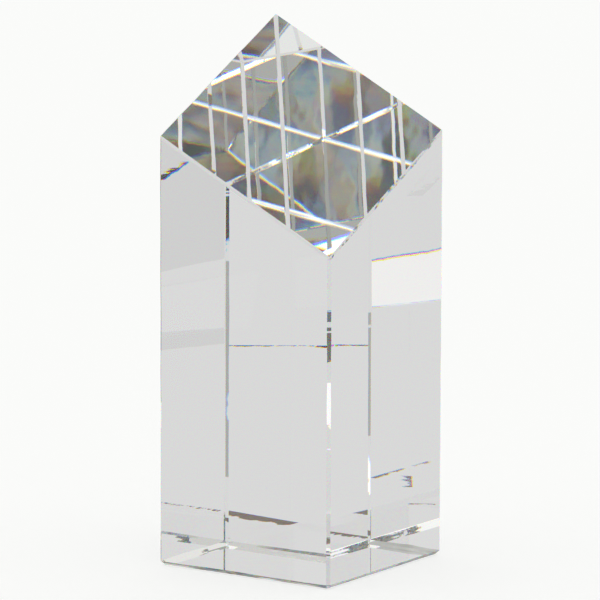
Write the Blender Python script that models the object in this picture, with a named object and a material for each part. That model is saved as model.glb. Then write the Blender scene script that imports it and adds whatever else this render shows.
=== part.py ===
# Crystal award: one solid block of optical glass, ground and polished from a square
# column. Its top is a single flat cut that falls along the diagonal, from the tallest
# upright edge to the shortest. Every edge is ground to a small flat chamfer. It stands
# on its flat underside, and nothing is fitted to it.
# Units are metres and +Z is up. The underside's centre is the origin.

import math

import bmesh
import bpy
from mathutils import Matrix, Vector

# Driving dimensions
SIDE = 0.060  # width of the square column, across two opposite faces
TALL_EDGE = 0.158  # height of the tallest upright edge, at (-X, +Y), before its chamfers
SHORT_EDGE = 0.0965  # height of the shortest upright edge, at (+X, -Y), before its chamfers
UPRIGHT_CHAMFER = 0.0008  # chamfers on the four upright edges, each along both faces
BASE_CHAMFER = 0.0010  # chamfers round the underside
CROWN_CHAMFER = 0.0004  # chamfers round the slanted top

GLASS = {"colour": (0.93, 0.95, 0.94, 1.0), "roughness": 0.02, "metallic": 0.0}

# The outward directions of the upright faces in turn, each with the next one round
UPRIGHT_FACES = [Vector((1, 0, 0)), Vector((0, 1, 0)), Vector((-1, 0, 0)), Vector((0, -1, 0))]
UNDERSIDE = Vector((0, 0, -1))


def clear_scene():
    for obj in list(bpy.data.objects):
        bpy.data.objects.remove(obj, do_unlink=True)


def glass_material():
    material = bpy.data.materials.new("optical_glass")
    material.use_nodes = True
    material.diffuse_color = GLASS["colour"]
    shader = material.node_tree.nodes["Principled BSDF"]
    shader.inputs["Base Color"].default_value = GLASS["colour"]
    shader.inputs["Roughness"].default_value = GLASS["roughness"]
    shader.inputs["Metallic"].default_value = GLASS["metallic"]
    return material


def grind(bm, point, outward):
    # Takes off all that lies beyond a plane, and closes the block with one flat face there
    block = bm.verts[:] + bm.edges[:] + bm.faces[:]
    bmesh.ops.bisect_plane(bm, geom=block, plane_co=point, plane_no=outward, clear_outer=True)
    rim = [edge for edge in bm.edges if edge.is_boundary]
    bmesh.ops.contextual_create(bm, geom=rim)


def chamfer(bm, edge_point, face_a, face_b, width):
    # A flat on the edge between two faces, which takes the same width off each of them
    outward = (face_a + face_b).normalized()
    depth = width * math.sin(face_a.angle(face_b) / 2)
    grind(bm, edge_point - outward * depth, outward)


def crown_plane():
    # The slanted cut's middle point and outward direction. It rises alike towards -X and +Y.
    rise = (TALL_EDGE - SHORT_EDGE) / (2 * SIDE)
    middle = Vector((0, 0, (TALL_EDGE + SHORT_EDGE) / 2))
    return middle, Vector((rise, -rise, 1)).normalized()


def crystal_block():
    bm = bmesh.new()
    size = Matrix.Diagonal((SIDE, SIDE, 2 * TALL_EDGE, 1))
    raised = Matrix.Translation((0, 0, TALL_EDGE))
    bmesh.ops.create_cube(bm, size=1, matrix=raised @ size)

    crown_point, crown = crown_plane()
    grind(bm, crown_point, crown)

    for face, next_face in zip(UPRIGHT_FACES, UPRIGHT_FACES[1:] + UPRIGHT_FACES[:1]):
        corner = (face + next_face) * SIDE / 2
        chamfer(bm, corner, face, next_face, UPRIGHT_CHAMFER)
        chamfer(bm, face * SIDE / 2, face, UNDERSIDE, BASE_CHAMFER)
        # The crown meets this face along a line whose middle is straight out from the axis
        rim_height = crown_point.z - (face * SIDE / 2).dot(crown) / crown.z
        rim_middle = face * SIDE / 2 + Vector((0, 0, rim_height))
        chamfer(bm, rim_middle, face, crown, CROWN_CHAMFER)

    bmesh.ops.recalc_face_normals(bm, faces=bm.faces[:])
    mesh = bpy.data.meshes.new("crystal_block")
    bm.to_mesh(mesh)
    bm.free()
    mesh.materials.append(glass_material())
    obj = bpy.data.objects.new("crystal_block", mesh)
    bpy.context.scene.collection.objects.link(obj)


clear_scene()
crystal_block()
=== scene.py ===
import math
import random

import bpy
from mathutils import Matrix, Vector


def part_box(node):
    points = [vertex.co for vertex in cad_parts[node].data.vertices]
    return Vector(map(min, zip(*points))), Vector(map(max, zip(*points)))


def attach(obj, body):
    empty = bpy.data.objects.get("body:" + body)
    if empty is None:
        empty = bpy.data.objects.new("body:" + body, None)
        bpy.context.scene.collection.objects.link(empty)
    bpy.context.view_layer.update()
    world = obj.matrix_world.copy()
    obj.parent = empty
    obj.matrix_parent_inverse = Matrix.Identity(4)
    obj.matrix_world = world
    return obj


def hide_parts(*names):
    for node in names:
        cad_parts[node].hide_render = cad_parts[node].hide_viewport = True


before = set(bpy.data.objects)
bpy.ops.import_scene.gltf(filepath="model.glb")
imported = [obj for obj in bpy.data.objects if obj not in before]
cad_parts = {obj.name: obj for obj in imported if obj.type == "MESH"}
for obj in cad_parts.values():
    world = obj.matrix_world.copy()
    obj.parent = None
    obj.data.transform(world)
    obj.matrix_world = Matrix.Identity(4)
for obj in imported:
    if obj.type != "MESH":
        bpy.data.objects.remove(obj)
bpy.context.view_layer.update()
blockLow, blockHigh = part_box("crystal_block")
side = blockHigh.x - blockLow.x
print("frame loaded")


# ---- camera ----

cameraSet = {
    "azimuth": 34.1,         # degrees round from the front, towards the right
    "elevation": 9.41,       # degrees above level
    "distance": 25.84,       # in block widths
    "targetHeight": 1.295,   # in block widths
    "targetAside": -0.0074,
    "tilt": 0.17,            # degrees, a hair off level
    "lens": 317.0,           # millimetres, on a 36 mm sensor
}


def makeCamera():
    azimuth = math.radians(cameraSet["azimuth"])
    elevation = math.radians(cameraSet["elevation"])
    level = math.cos(elevation)
    back = Vector((math.sin(azimuth) * level, -math.cos(azimuth) * level, math.sin(elevation)))
    aside = Vector((math.cos(azimuth), math.sin(azimuth), 0))
    target = (aside * cameraSet["targetAside"] + Vector((0, 0, cameraSet["targetHeight"]))) * side
    camera = bpy.data.objects.new("camera", bpy.data.cameras.new("camera"))
    bpy.context.scene.collection.objects.link(camera)
    camera.data.sensor_width = 36.0
    camera.data.lens = cameraSet["lens"]
    camera.location = target + back * cameraSet["distance"] * side
    aim = back.to_track_quat("Z", "Y").to_matrix()
    tilt = Matrix.Rotation(math.radians(cameraSet["tilt"]), 3, "Z")
    camera.rotation_euler = (aim @ tilt).to_euler()
    bpy.context.scene.camera = camera


makeCamera()
print("camera placed")


# ---- node helpers ----


def setInput(node, socket, value):
    # a socket takes either another node's output or a plain value
    if isinstance(value, bpy.types.NodeSocket):
        node.id_data.links.new(value, node.inputs[socket])
    else:
        node.inputs[socket].default_value = value


def calc(tree, operation, *values):
    node = tree.nodes.new("ShaderNodeMath")
    node.operation = operation
    for socket, value in enumerate(values):
        setInput(node, socket, value)
    return node.outputs[0]


def ramp(tree, value, start, end):
    # rises smoothly from 0 at start to 1 at end
    node = tree.nodes.new("ShaderNodeMapRange")
    node.interpolation_type = "SMOOTHSTEP"
    setInput(node, "Value", value)
    node.inputs["From Min"].default_value = start
    node.inputs["From Max"].default_value = end
    return node.outputs[0]


def blend(tree, share, low, high):
    node = tree.nodes.new("ShaderNodeMix")
    node.data_type = "RGBA"
    setInput(node, "Factor", share)
    setInput(node, 6, low)
    setInput(node, 7, high)
    return node.outputs[2]


# ---- glass ----

glassSet = {
    "ior": 1.52,
    "iorRed": 1.518,         # red bends a little less, and blue a little more
    "iorBlue": 1.5235,
    "dustRoughness": 0.25,   # how much rougher a speck of dust is
}
faceSet = {
    "tint": (0.984, 0.985, 0.982, 1.0),
    "roughness": 0.0,
    "wave": 6e-6,            # how high the polish rolls, in metres
    "rollScale": 45,
}
edgeSet = {
    "tint": (0.95, 0.955, 0.95, 1.0),
    "roughness": 0.02,
    "wave": 6e-6,
    "rollScale": 220,
}
polishSet = {
    "rollScale": 60,
    "rollDetail": 2,
    "dustScale": 130,        # cells in a metre, each with room for one speck
    "dustSize": 0.035,       # share of a cell
    "dustChance": 0.93,      # a cell whose random number is above this has a speck
}


def handPolishGroup():
    # the soft roll that a polishing wheel leaves, and specks of dust
    group = bpy.data.node_groups.new("hand polish", "ShaderNodeTree")
    place = group.interface.new_socket("Place", in_out="INPUT", socket_type="NodeSocketVector")
    scale = group.interface.new_socket("Roll Scale", in_out="INPUT", socket_type="NodeSocketFloat")
    scale.default_value = polishSet["rollScale"]
    group.interface.new_socket("Height", in_out="OUTPUT", socket_type="NodeSocketFloat")
    group.interface.new_socket("Dust", in_out="OUTPUT", socket_type="NodeSocketFloat")
    given = group.nodes.new("NodeGroupInput").outputs
    roll = group.nodes.new("ShaderNodeTexNoise")
    roll.inputs["Detail"].default_value = polishSet["rollDetail"]
    group.links.new(given[place.name], roll.inputs["Vector"])
    group.links.new(given[scale.name], roll.inputs["Scale"])
    specks = group.nodes.new("ShaderNodeTexVoronoi")
    specks.inputs["Scale"].default_value = polishSet["dustScale"]
    group.links.new(given[place.name], specks.inputs["Vector"])
    pick = group.nodes.new("ShaderNodeSeparateXYZ")
    group.links.new(specks.outputs["Color"], pick.inputs[0])
    near = calc(group, "LESS_THAN", specks.outputs["Distance"], polishSet["dustSize"])
    rare = calc(group, "GREATER_THAN", pick.outputs[0], polishSet["dustChance"])
    out = group.nodes.new("NodeGroupOutput")
    group.links.new(roll.outputs["Fac"], out.inputs["Height"])
    group.links.new(calc(group, "MULTIPLY", near, rare), out.inputs["Dust"])
    return group


handPolish = handPolishGroup()


def glassMaterial(name, finish):
    material = bpy.data.materials.new(name)
    material.use_nodes = True
    tree = material.node_tree
    shader = tree.nodes["Principled BSDF"]
    shader.inputs["Base Color"].default_value = finish["tint"]
    shader.inputs["IOR"].default_value = glassSet["ior"]
    shader.inputs["Transmission Weight"].default_value = 1.0
    place = tree.nodes.new("ShaderNodeTexCoord")
    polish = tree.nodes.new("ShaderNodeGroup")
    polish.node_tree = handPolish
    tree.links.new(place.outputs["Object"], polish.inputs["Place"])
    polish.inputs["Roll Scale"].default_value = finish["rollScale"]
    bump = tree.nodes.new("ShaderNodeBump")
    bump.inputs["Distance"].default_value = finish["wave"]
    tree.links.new(polish.outputs["Height"], bump.inputs["Height"])
    dusty = glassSet["dustRoughness"]
    blur = calc(tree, "MULTIPLY_ADD", polish.outputs["Dust"], dusty, finish["roughness"])
    setInput(shader, "Roughness", blur)
    setInput(shader, "Normal", bump.outputs["Normal"])
    # where the eye looks in, each colour bends by its own amount, so whatever is seen
    # through the block gets thin coloured fringes
    colours = (("iorRed", (1, 0, 0, 1)), ("ior", (0, 1, 0, 1)), ("iorBlue", (0, 0, 1, 1)))
    spread = None
    for key, colour in colours:
        glass = tree.nodes.new("ShaderNodeBsdfGlass")
        glass.inputs["Color"].default_value = tuple(a * b for a, b in zip(colour, finish["tint"]))
        glass.inputs["IOR"].default_value = glassSet[key]
        setInput(glass, "Roughness", blur)
        setInput(glass, "Normal", bump.outputs["Normal"])
        if spread is None:
            spread = glass.outputs[0]
            continue
        both = tree.nodes.new("ShaderNodeAddShader")
        tree.links.new(spread, both.inputs[0])
        tree.links.new(glass.outputs[0], both.inputs[1])
        spread = both.outputs[0]
    path = tree.nodes.new("ShaderNodeLightPath")
    choose = tree.nodes.new("ShaderNodeMixShader")
    tree.links.new(path.outputs["Is Camera Ray"], choose.inputs[0])
    tree.links.new(shader.outputs[0], choose.inputs[1])
    tree.links.new(spread, choose.inputs[2])
    tree.links.new(choose.outputs[0], tree.nodes["Material Output"].inputs["Surface"])
    return material


polishedFace = glassMaterial("polished_face", faceSet)
groundEdge = glassMaterial("ground_edge", edgeSet)


# ---- the block ----

blockSet = {
    "Side": side,
    "Tall Edge": 0.158,
    "Short Edge": 0.0965,
    "Top Limit": blockHigh.z,
    "Upright Chamfer": 0.00085,
    "Base Chamfer": 0.0012,
    "Crown Chamfer": 0.00055,
    "Slow Wobble": 0.35,     # share of a chamfer's width, over a few centimetres
    "Fine Wobble": 0.015,    # the same, over a millimetre or two
    "Seed": 3.0,
    "Points Across": 61,
    "Points Up": 181,
}
wobbleSet = {
    "across": 60.0,          # the block's width and height as the noise measures them
    "up": 150.0,
    "slowScale": 0.06,
    "fineScale": 0.3,
    "detail": 1.0,
    "narrowest": 0.3,        # share of a chamfer's width that is always left
}
nearEnd = 0.4999             # a point past this is on a face of the unit cube
nearRim = 0.999              # a ring of points past this is the one next to the edge
nearRing = 0.0005            # share of the height that still counts as the first ring or the last
anyEdge = 0.01               # a face with any point on an edge averages more than this


def blockTree():
    tree = bpy.data.node_groups.new("hand cut block", "GeometryNodeTree")
    tree.interface.new_socket("Geometry", in_out="OUTPUT", socket_type="NodeSocketGeometry")
    for name, value in blockSet.items():
        kind = "NodeSocketInt" if isinstance(value, int) else "NodeSocketFloat"
        tree.interface.new_socket(name, in_out="INPUT", socket_type=kind)
    given = tree.nodes.new("NodeGroupInput").outputs

    cube = tree.nodes.new("GeometryNodeMeshCube")
    setInput(cube, "Vertices X", given["Points Across"])
    setInput(cube, "Vertices Y", given["Points Across"])
    setInput(cube, "Vertices Z", given["Points Up"])
    place = tree.nodes.new("GeometryNodeInputPosition")
    parts = tree.nodes.new("ShaderNodeSeparateXYZ")
    tree.links.new(place.outputs[0], parts.inputs[0])
    px, py, pz = parts.outputs

    half = calc(tree, "MULTIPLY", given["Side"], 0.5)
    fall = calc(tree, "SUBTRACT", given["Tall Edge"], given["Short Edge"])
    slope = calc(tree, "DIVIDE", fall, calc(tree, "MULTIPLY", given["Side"], 2.0))
    both = calc(tree, "ADD", given["Tall Edge"], given["Short Edge"])
    middle = calc(tree, "MULTIPLY", both, 0.5)
    squared = calc(tree, "MULTIPLY", slope, slope)
    # how far the crown's chamfer reaches down a face, and in from the rim
    steep = calc(tree, "SQRT", calc(tree, "ADD", squared, 1.0))
    lean = calc(tree, "SQRT", calc(tree, "MULTIPLY_ADD", squared, 2.0, 1.0))
    lean = calc(tree, "DIVIDE", lean, steep)
    crownDown = calc(tree, "MULTIPLY", given["Crown Chamfer"], steep)
    crownIn = calc(tree, "DIVIDE", given["Crown Chamfer"], lean)

    def isEnd(value):
        return calc(tree, "GREATER_THAN", calc(tree, "ABSOLUTE", value), nearEnd)

    onX, onY, onZ = isEnd(px), isEnd(py), isEnd(pz)
    top = calc(tree, "GREATER_THAN", pz, nearEnd)
    bottom = calc(tree, "LESS_THAN", pz, -nearEnd)
    # a point on an edge is on two faces of the cube, and one on a corner is on three
    ends = calc(tree, "ADD", calc(tree, "ADD", onX, onY), onZ)
    onEdge = calc(tree, "GREATER_THAN", ends, 1.5)
    onCorner = calc(tree, "GREATER_THAN", ends, 2.5)

    step = calc(tree, "DIVIDE", 2.0, calc(tree, "SUBTRACT", given["Points Across"], 1.0))
    lastRing = calc(tree, "SUBTRACT", 1.0, step)
    stepUp = calc(tree, "DIVIDE", 1.0, calc(tree, "SUBTRACT", given["Points Up"], 1.0))
    lastLevel = calc(tree, "SUBTRACT", 1.0, calc(tree, "MULTIPLY", stepUp, 2.0))

    # the hand's wobble along the edges. both sides of a chamfer share it, so that it stays flat
    def shared(value, last, size):
        wide = calc(tree, "DIVIDE", value, last)
        wide = calc(tree, "MAXIMUM", calc(tree, "MINIMUM", wide, 0.5), -0.5)
        return calc(tree, "MULTIPLY", wide, size)

    apart = tree.nodes.new("ShaderNodeCombineXYZ")
    setInput(apart, 0, shared(px, lastRing, wobbleSet["across"]))
    setInput(apart, 1, shared(py, lastRing, wobbleSet["across"]))
    setInput(apart, 2, shared(pz, lastLevel, wobbleSet["up"]))

    def wobble(scale, size):
        hand = tree.nodes.new("ShaderNodeTexNoise")
        hand.noise_dimensions = "4D"
        tree.links.new(apart.outputs[0], hand.inputs["Vector"])
        setInput(hand, "W", given["Seed"])
        hand.inputs["Scale"].default_value = scale
        hand.inputs["Detail"].default_value = wobbleSet["detail"]
        swing = calc(tree, "MULTIPLY", calc(tree, "SUBTRACT", hand.outputs["Fac"], 0.5), 2.0)
        return calc(tree, "MULTIPLY", swing, size)

    slow = wobble(wobbleSet["slowScale"], given["Slow Wobble"])
    fine = wobble(wobbleSet["fineScale"], given["Fine Wobble"])
    uneven = calc(tree, "ADD", calc(tree, "ADD", slow, fine), 1.0)
    uneven = calc(tree, "MAXIMUM", uneven, wobbleSet["narrowest"])

    def pick(test, yes, no):
        away = calc(tree, "MULTIPLY", calc(tree, "SUBTRACT", 1.0, test), no)
        return calc(tree, "MULTIPLY_ADD", test, yes, away)

    # the chamfer that a point keeps clear of, on the crown, the underside or an upright face
    aside = pick(top, crownIn, pick(bottom, given["Base Chamfer"], given["Upright Chamfer"]))
    asideUneven = calc(tree, "MULTIPLY", aside, uneven)
    # an edge's own point sits halfway across its chamfer, and a corner's two thirds of the way in
    pull = calc(tree, "MULTIPLY", onEdge, calc(tree, "MULTIPLY_ADD", onCorner, 1 / 6, 0.5))
    pulled = calc(tree, "SUBTRACT", half, calc(tree, "MULTIPLY", asideUneven, pull))

    def across(value, end):
        inner = calc(tree, "DIVIDE", calc(tree, "MULTIPLY", value, 2.0), lastRing)
        nearEdge = calc(tree, "GREATER_THAN", calc(tree, "ABSOLUTE", inner), nearRim)
        keep = calc(tree, "SUBTRACT", half, pick(nearEdge, asideUneven, aside))
        inside = calc(tree, "MULTIPLY", inner, keep)
        return pick(end, calc(tree, "MULTIPLY", calc(tree, "SIGN", value), pulled), inside)

    x = across(px, onX)
    y = across(py, onY)
    crown = calc(tree, "MULTIPLY_ADD", calc(tree, "SUBTRACT", y, x), slope, middle)
    share = calc(tree, "SUBTRACT", calc(tree, "ADD", pz, 0.5), stepUp)
    share = calc(tree, "DIVIDE", share, lastLevel)
    lowRing = calc(tree, "LESS_THAN", share, nearRing)
    highRing = calc(tree, "GREATER_THAN", share, 1 - nearRing)
    low = calc(tree, "MULTIPLY", given["Base Chamfer"], pick(lowRing, uneven, 1.0))
    high = calc(tree, "SUBTRACT", crown, calc(tree, "MULTIPLY", crownDown, pick(highRing, uneven, 1.0)))
    between = calc(tree, "MULTIPLY_ADD", share, calc(tree, "SUBTRACT", high, low), low)
    topZ = calc(tree, "SUBTRACT", crown, calc(tree, "MULTIPLY", crownDown, pull))
    topZ = calc(tree, "MINIMUM", topZ, given["Top Limit"])
    bottomZ = calc(tree, "MULTIPLY", given["Base Chamfer"], pull)
    z = pick(top, topZ, pick(bottom, bottomZ, between))

    moved = tree.nodes.new("ShaderNodeCombineXYZ")
    for socket, value in enumerate((x, y, z)):
        setInput(moved, socket, value)
    # whether a point is on an edge is noted before it moves: a face that has one is a chamfer's
    edgeNote = tree.nodes.new("GeometryNodeCaptureAttribute")
    edgeNote.capture_items.new("FLOAT", "edge")
    tree.links.new(cube.outputs["Mesh"], edgeNote.inputs["Geometry"])
    setInput(edgeNote, 1, onEdge)
    shape = tree.nodes.new("GeometryNodeSetPosition")
    tree.links.new(edgeNote.outputs["Geometry"], shape.inputs["Geometry"])
    tree.links.new(moved.outputs[0], shape.inputs["Position"])
    flat = tree.nodes.new("GeometryNodeSetShadeSmooth")
    tree.links.new(shape.outputs[0], flat.inputs["Geometry"])
    flat.inputs["Shade Smooth"].default_value = False
    real = tree.nodes.new("GeometryNodeRealizeInstances")
    tree.links.new(flat.outputs[0], real.inputs[0])
    faces = tree.nodes.new("GeometryNodeSetMaterial")
    faces.inputs["Material"].default_value = polishedFace
    tree.links.new(real.outputs[0], faces.inputs["Geometry"])
    onFace = tree.nodes.new("GeometryNodeFieldOnDomain")
    onFace.domain = "FACE"
    tree.links.new(edgeNote.outputs[1], onFace.inputs[0])
    edges = tree.nodes.new("GeometryNodeSetMaterial")
    edges.inputs["Material"].default_value = groundEdge
    tree.links.new(faces.outputs[0], edges.inputs["Geometry"])
    setInput(edges, "Selection", calc(tree, "GREATER_THAN", onFace.outputs[0], anyEdge))
    out = tree.nodes.new("NodeGroupOutput")
    tree.links.new(edges.outputs[0], out.inputs[0])
    return tree


def makeBlock():
    holder = bpy.data.objects.new("cut_crystal", bpy.data.meshes.new("cut_crystal"))
    bpy.context.scene.collection.objects.link(holder)
    modifier = holder.modifiers.new("block", "NODES")
    modifier.node_group = blockTree()
    for socket in modifier.node_group.interface.items_tree:
        if socket.in_out == "INPUT":
            modifier[socket.identifier] = blockSet[socket.name]
    graph = bpy.context.evaluated_depsgraph_get()
    mesh = bpy.data.meshes.new_from_object(holder.evaluated_get(graph))
    holder.modifiers.clear()
    holder.data = mesh
    return holder


cutCrystal = makeBlock()
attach(cutCrystal, "root")
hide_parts("crystal_block")
print("block made:", len(cutCrystal.data.polygons), "faces")


# ---- studio ----

floorSet = {
    "reach": 40.0,           # metres from the block
    "drop": -0.0003,
    "colour": 0.80,
    "roughness": 0.9,
    "glow": 0.61,
}
tableSet = {
    "reach": 0.95,
    "drop": -0.0005,         # the table lies just under the floor, and only the glass sees it
    "sheetDrop": -0.0004,
    "glow": 0.705,
}
roomSet = {
    "seenGlow": 0.99,        # what the camera sees past the floor
    "backdropGlow": 0.72,
    "backdropFoot": (5.0, 6.5),        # fades in over these degrees above level
    "backdropHead": (20.0, 17.0),      # and out again over these
    "backdropEnds": (0.62, 0.50),      # how far round it reaches, as a cosine
    "ceilingGlow": 0.62,
    "ceilingStart": (27, 33),          # degrees above level
    "overhead": (44, 68),
    "farCeiling": (0.58, 0.6, 0.56),   # shares of the ceiling's glow
    "nearCeiling": (1, 1, 0.97),
    "glow": 0.20,            # the dim room behind the camera and round the horizon
    "darkest": 0.4,          # shares of the room's glow
    "lightest": 2.1,
    "mottleScale": 150,
}
mottleSet = {
    "stretch": (1, 1, 0.4),            # blotches come out taller than they are wide
    "warmScale": 0.6,
    "warmDetail": 1.0,
    "warmRange": (0.40, 0.66),
    "detail": 2.0,
    "range": (0.28, 0.76),
    "darkTeal": (0.80, 1, 1.02),
    "darkBrown": (1.15, 1, 0.88),
    "lightTeal": (0.84, 1, 0.98),
    "lightBrown": (1, 0.88, 0.79),
}
markSet = {
    "steps": 60,
    "thinnest": 0.15,        # share of the width
    "ragged": 0.25,
}
dimSet = {
    "scale": 130,
    "dark": 0.09,
    "light": 0.36,
}
toneSet = {
    "dark": (0.060, 0.055, 0.050),
    "brown": (0.20, 0.165, 0.14),
    "grey": (0.38, 0.39, 0.37),
    "plain": (1, 1, 1),
    # the strip tone and its glow below are painted highlights, brighter than any paper on the table
    "strip": (1, 1, 0.99),
    "sheet": (1, 0.99, 0.98),
    "shadeGlow": 0.63,
    # painted highlight: a glow above the table's and the white sheet's
    "glintGlow": 1.15,
    "sheetGlow": 0.92,
    "softbox": (1, 1, 0.985),
    "softboxLow": (1, 0.99, 0.965),
    "softboxHigh": (0.985, 1, 0.985),
    "softboxGlow": 0.98,
    "softboxDimGlow": 0.82,
    "windowGlow": 1.5,
}
cardSet = {
    "distance": 1.4,         # metres from the block
    "height": 0.08,          # where the cards are centred and aimed
}
footSet = {
    "gap": 0.0005,
    "reach": 0.0045,
}
square = ((-1, -1), (1, -1), (1, 1), (-1, 1))


def direction(aside, up):
    # a way out from the block. aside is in degrees clockwise from straight behind it
    turn = math.radians(aside - cameraSet["azimuth"])
    climb = math.radians(up)
    level = math.cos(climb)
    return Vector((math.sin(turn) * level, math.cos(turn) * level, math.sin(climb)))


def stageMesh(name, points, faces, material, seen=False):
    # what isn't seen by the camera is there for the glass alone, and leaves the floor unlit
    mesh = bpy.data.meshes.new(name)
    mesh.from_pydata(points, [], faces)
    mesh.materials.append(material)
    piece = bpy.data.objects.new(name, mesh)
    bpy.context.scene.collection.objects.link(piece)
    piece.visible_camera = seen
    piece.visible_shadow = seen
    piece.visible_diffuse = False
    return piece


def glowMaterial(name, colour, strength=1.0):
    material = bpy.data.materials.new(name)
    material.use_nodes = True
    material.cycles.emission_sampling = "NONE"
    tree = material.node_tree
    tree.nodes.remove(tree.nodes["Principled BSDF"])
    glow = tree.nodes.new("ShaderNodeEmission")
    glow.inputs["Color"].default_value = (*colour, 1)
    glow.inputs["Strength"].default_value = strength
    tree.links.new(glow.outputs[0], tree.nodes["Material Output"].inputs["Surface"])
    return material


def noise(tree, place, scale, detail):
    node = tree.nodes.new("ShaderNodeTexNoise")
    node.inputs["Scale"].default_value = scale
    node.inputs["Detail"].default_value = detail
    tree.links.new(place, node.inputs["Vector"])
    return node.outputs["Fac"]


def shaded(tone, glow):
    # a tone at this brightness, with its alpha
    return (*(part * glow for part in tone), 1)


def mottle(tree, place, scale, dark, light):
    # blotches of dim teal, grey and brown, as an untidy room looks out of focus
    stretch = tree.nodes.new("ShaderNodeVectorMath")
    stretch.operation = "MULTIPLY"
    stretch.inputs[1].default_value = mottleSet["stretch"]
    tree.links.new(place, stretch.inputs[0])
    tall = stretch.outputs[0]
    warmth = noise(tree, tall, scale * mottleSet["warmScale"], mottleSet["warmDetail"])
    warmth = ramp(tree, warmth, *mottleSet["warmRange"])
    level = ramp(tree, noise(tree, tall, scale, mottleSet["detail"]), *mottleSet["range"])
    cool, warm = shaded(mottleSet["darkTeal"], dark), shaded(mottleSet["darkBrown"], dark)
    low = blend(tree, warmth, cool, warm)
    cool, warm = shaded(mottleSet["lightTeal"], light), shaded(mottleSet["lightBrown"], light)
    high = blend(tree, warmth, cool, warm)
    return blend(tree, level, low, high)


def dimMaterial(name):
    material = glowMaterial(name, toneSet["plain"])
    tree = material.node_tree
    place = tree.nodes.new("ShaderNodeTexCoord")
    glow = next(node for node in tree.nodes if node.type == "EMISSION")
    colour = mottle(tree, place.outputs["Object"], dimSet["scale"], dimSet["dark"], dimSet["light"])
    tree.links.new(colour, glow.inputs["Color"])
    return material


def card(name, aside, up, width, height, material):
    # a flat card that faces the block
    out = direction(aside, up)
    right = Vector((out.y, -out.x, 0)).normalized()
    over = right.cross(out)
    centre = out * cardSet["distance"] + Vector((0, 0, cardSet["height"]))
    points = [centre + right * width * a / 2 + over * height * b / 2 for a, b in square]
    stageMesh(name, points, [(0, 1, 2, 3)], material)


def flag(name, aside, distance, width, height, material):
    # an upright card that stands on the table and faces the block
    out = direction(aside, 0)
    right = Vector((out.y, -out.x, 0))
    foot = out * distance
    corners = ((-1, 0), (1, 0), (1, 1), (-1, 1))
    points = [foot + right * width * a / 2 + Vector((0, 0, height * b)) for a, b in corners]
    stageMesh(name, points, [(0, 1, 2, 3)], material)


def sheet(name, corners, material, lift=tableSet["sheetDrop"]):
    stageMesh(name, [(x, y, lift) for x, y in corners], [(0, 1, 2, 3)], material)


def mark(name, start, end, width, gap, material, seed, ragged=markSet["ragged"]):
    # a thin uneven line that lies on the table, with breaks in it
    rng = random.Random(seed)
    start = Vector((*start, 0))
    end = Vector((*end, 0))
    along = end - start
    across = Vector((-along.y, along.x, 0)).normalized()
    steps = markSet["steps"]
    points = []
    faces = []
    thick = 1.0
    for step in range(steps + 1):
        thick = min(1.0, max(markSet["thinnest"], thick + rng.uniform(-ragged, ragged)))
        spot = start + along * step / steps
        points += [spot, spot + across * width * thick]
        if step and rng.random() > gap:
            last = len(points) - 4
            faces.append((last, last + 2, last + 3, last + 1))
    stageMesh(name, points, faces, material)


def makeFloor():
    material = bpy.data.materials.new("floor_paper")
    material.use_nodes = True
    material.cycles.emission_sampling = "NONE"
    paper = material.node_tree.nodes["Principled BSDF"]
    shade = floorSet["colour"]
    paper.inputs["Base Color"].default_value = (shade, shade, shade, 1)
    paper.inputs["Roughness"].default_value = floorSet["roughness"]
    paper.inputs["Specular IOR Level"].default_value = 0.0
    paper.inputs["Emission Color"].default_value = (1, 1, 1, 1)
    paper.inputs["Emission Strength"].default_value = floorSet["glow"]
    reach = floorSet["reach"]
    points = [(x * reach, y * reach, floorSet["drop"]) for x, y in square]
    floor = stageMesh("floor", points, [(0, 1, 2, 3)], material, seen=True)
    floor.visible_transmission = False
    floor.visible_glossy = False
    # what the glass sees in its place: a plain table, with the room beyond its edge
    reach = tableSet["reach"]
    top = glowMaterial("table_top", toneSet["plain"], tableSet["glow"])
    sheet("table", [(x * reach, y * reach) for x, y in square], top, tableSet["drop"])


def makeWorld():
    world = bpy.data.worlds.new("studio")
    bpy.context.scene.world = world
    world.use_nodes = True
    tree = world.node_tree
    place = tree.nodes.new("ShaderNodeTexCoord")
    parts = tree.nodes.new("ShaderNodeSeparateXYZ")
    tree.links.new(place.outputs["Generated"], parts.inputs[0])
    x, y, z = parts.outputs
    height = calc(tree, "MULTIPLY", calc(tree, "ARCSINE", z), 180 / math.pi)
    back = direction(180, 0)
    behind = calc(tree, "MULTIPLY_ADD", x, back.x, calc(tree, "MULTIPLY", y, back.y))
    dark = roomSet["glow"] * roomSet["darkest"]
    light = roomSet["glow"] * roomSet["lightest"]
    colour = mottle(tree, place.outputs["Generated"], roomSet["mottleScale"], dark, light)
    foot = ramp(tree, height, *roomSet["backdropFoot"])
    head = ramp(tree, height, *roomSet["backdropHead"])
    backdrop = calc(tree, "MULTIPLY", foot, head)
    backdrop = calc(tree, "MULTIPLY", backdrop, ramp(tree, behind, *roomSet["backdropEnds"]))
    colour = blend(tree, backdrop, colour, shaded(toneSet["plain"], roomSet["backdropGlow"]))
    # the ceiling is dimmer near the walls than overhead
    far = shaded(roomSet["farCeiling"], roomSet["ceilingGlow"])
    near = shaded(roomSet["nearCeiling"], roomSet["ceilingGlow"])
    over = blend(tree, ramp(tree, height, *roomSet["overhead"]), far, near)
    colour = blend(tree, ramp(tree, height, *roomSet["ceilingStart"]), colour, over)
    path = tree.nodes.new("ShaderNodeLightPath")
    sky = tree.nodes["Background"]
    seen = shaded(toneSet["plain"], roomSet["seenGlow"])
    setInput(sky, "Color", blend(tree, path.outputs["Is Camera Ray"], colour, seen))
    sky.inputs["Strength"].default_value = 1.0


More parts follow.
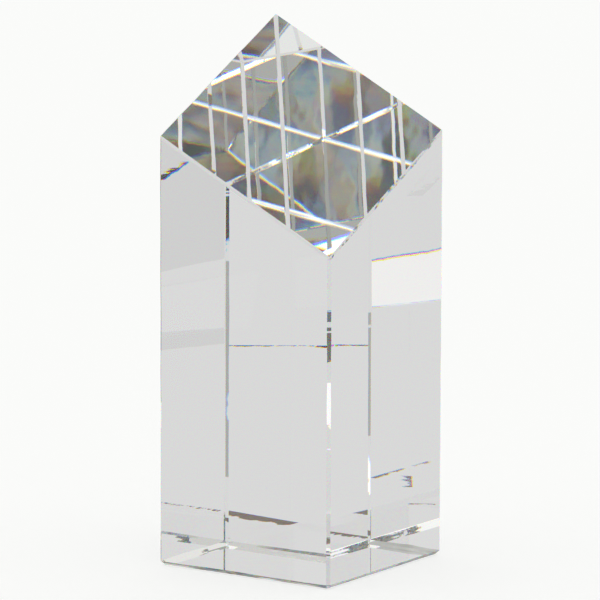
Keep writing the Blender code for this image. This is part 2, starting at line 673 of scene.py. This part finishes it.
def makeTable():
    dim = dimMaterial("dim_card")
    flag("flag_left", -91, 0.26, 0.085, 0.085, dim)
    sheet("dim_sheet_rear", ((-0.172, 0.104), (-0.262, 0.125), (-0.280, 0.215), (-0.195, 0.165)), dim)
    sheet("dim_sheet_left", ((-0.255, -0.035), (-0.255, -0.100), (-0.350, -0.125), (-0.350, -0.035)), dim)
    flag("flag_right", 35, 0.34, 0.07, 0.10, dim)
    dark = glowMaterial("dark_line", toneSet["dark"])
    brown = glowMaterial("brown_line", toneSet["brown"])
    grey = glowMaterial("grey_line", toneSet["grey"])
    shade = glowMaterial("shaded_table", toneSet["plain"], toneSet["shadeGlow"])
    # painted highlights: a near-white glow brighter than the table or any paper on it
    white = glowMaterial("painted_glint", toneSet["strip"], toneSet["glintGlow"])
    paper = glowMaterial("white_sheet", toneSet["sheet"], toneSet["sheetGlow"])
    # things on the table behind the block
    mark("seam_behind", (-0.232, 0.312), (-0.186, 0.3425), -0.0045, 0.1, dark, 4)
    # thin brown lines and a speck on the table close to the block
    mark("brown_mark_behind", (-0.058, 0.0715), (-0.030, 0.0685), -0.007, 0.0, brown, 2, 0.12)
    mark("brown_mark_dashes", (0.0, 0.0705), (0.024, 0.0705), -0.0022, 0.35, brown, 5)
    mark("brown_mark_right", (-0.050, 0.038), (-0.034, 0.038), -0.004, 0.0, brown, 3)
    mark("brown_mark_left", (-0.085, -0.054), (-0.085, -0.073), 0.0020, 0.0, brown, 6)
    mark("brown_mark_left_end", (-0.085, -0.078), (-0.085, -0.087), 0.0018, 0.1, brown, 7)
    mark("brown_mark_corner", (-0.053, -0.027), (-0.046, -0.031), 0.0016, 0.0, brown, 11)
    mark("brown_mark_speck", (-0.076, -0.064), (-0.066, -0.049), 0.004, 0.15, brown, 15)
    # a white sheet that lies to the left, with thin dark edges
    corners = ((-0.333, -0.405), (-0.318, -0.500), (-0.243, -0.385), (-0.277, -0.305))
    sheet("white_sheet", corners, paper)
    mark("sheet_far_edge", corners[0], corners[1], 0.0024, 0.0, brown, 8)
    mark("sheet_near_edge", corners[3], corners[2], 0.0016, 0.0, brown, 9)
    sheet("shaded_patch", ((0.290, 0.36), (0.285, 0.58), (0.60, 0.94), (0.75, 0.60)), shade)
    sheet("faint_patch", ((0.215, 0.31), (0.19, 0.35), (0.165, 0.335), (0.185, 0.29)), shade)
    # long things that point at the block, which show as strokes down its upright edges
    mark("slanted_line", (0.435, 0.648), (0.460, 0.702), -0.007, 0.0, dark, 20)
    mark("stroke_front_far", (-0.418, 0.190), (-0.384, 0.178), -0.024, 0.0, dark, 12, 0.03)
    mark("stroke_front", (-0.376, 0.175), (-0.312, 0.151), -0.024, 0.0, dark, 13, 0.03)
    # a strip that glows brighter than the table: a painted highlight down an upright edge
    mark("glint_strip_front", (-0.285, 0.139), (-0.095, 0.068), -0.022, 0.0, white, 14, 0.1)
    mark("stroke_left", (-0.142, 0.760), (-0.113, 0.570), 0.014, 0.0, dark, 16, 0.1)
    mark("line_left", (-0.107, 0.555), (-0.0462, 0.134), 0.006, 0.0, grey, 19, 0.1)
    mark("ragged_right", (-0.410, 0.212), (-0.185, 0.098), 0.018, 0.05, grey, 18, 0.15)
    # two patches that glow brighter than any paper on the table: a painted highlight along the line that
    # rises across the crown
    sheet("glint_patch_left", ((-0.160, 0.040), (-0.160, 0.056), (-0.186, 0.056), (-0.186, 0.040)), white)
    sheet("glint_patch_right", ((-0.175, -0.088), (-0.228, -0.086), (-0.228, -0.114), (-0.175, -0.114)), white)
    # a ring round the foot of the block that glows brighter than the table: a painted highlight for the
    # glass near its base
    sizes = (side / 2 + footSet["gap"], side / 2 + footSet["reach"])
    points = [(x * size, y * size, tableSet["sheetDrop"]) for size in sizes for x, y in square]
    stageMesh("glint_ring_foot", points, [(0, 1, 5, 4), (1, 2, 6, 5), (2, 3, 7, 6), (3, 0, 4, 7)], white)
    # lamps and a window
    light = glowMaterial("softbox", toneSet["softbox"], toneSet["softboxGlow"])
    card("softbox_back", -154, 60, 0.95, 0.62, light)
    light = glowMaterial("softbox_low", toneSet["softboxLow"], toneSet["softboxDimGlow"])
    card("softbox_right", 48, 33, 0.45, 0.25, light)
    light = glowMaterial("softbox_high", toneSet["softboxHigh"], toneSet["softboxDimGlow"])
    card("softbox_front", -178, 41, 0.40, 0.25, light)
    light = glowMaterial("window", toneSet["plain"], toneSet["windowGlow"])
    card("window", -172, 20, 0.38, 0.34, light)


makeFloor()
makeWorld()
makeTable()
print("studio set")

lightSet = {
    "bounces": 32,
    "bouncesInGlass": 24,    # the crown's far lines are many reflections deep
}
scene = bpy.context.scene
scene.view_settings.view_transform = "Standard"
scene.cycles.max_bounces = lightSet["bounces"]
scene.cycles.glossy_bounces = lightSet["bouncesInGlass"]
scene.cycles.transmission_bounces = lightSet["bouncesInGlass"]
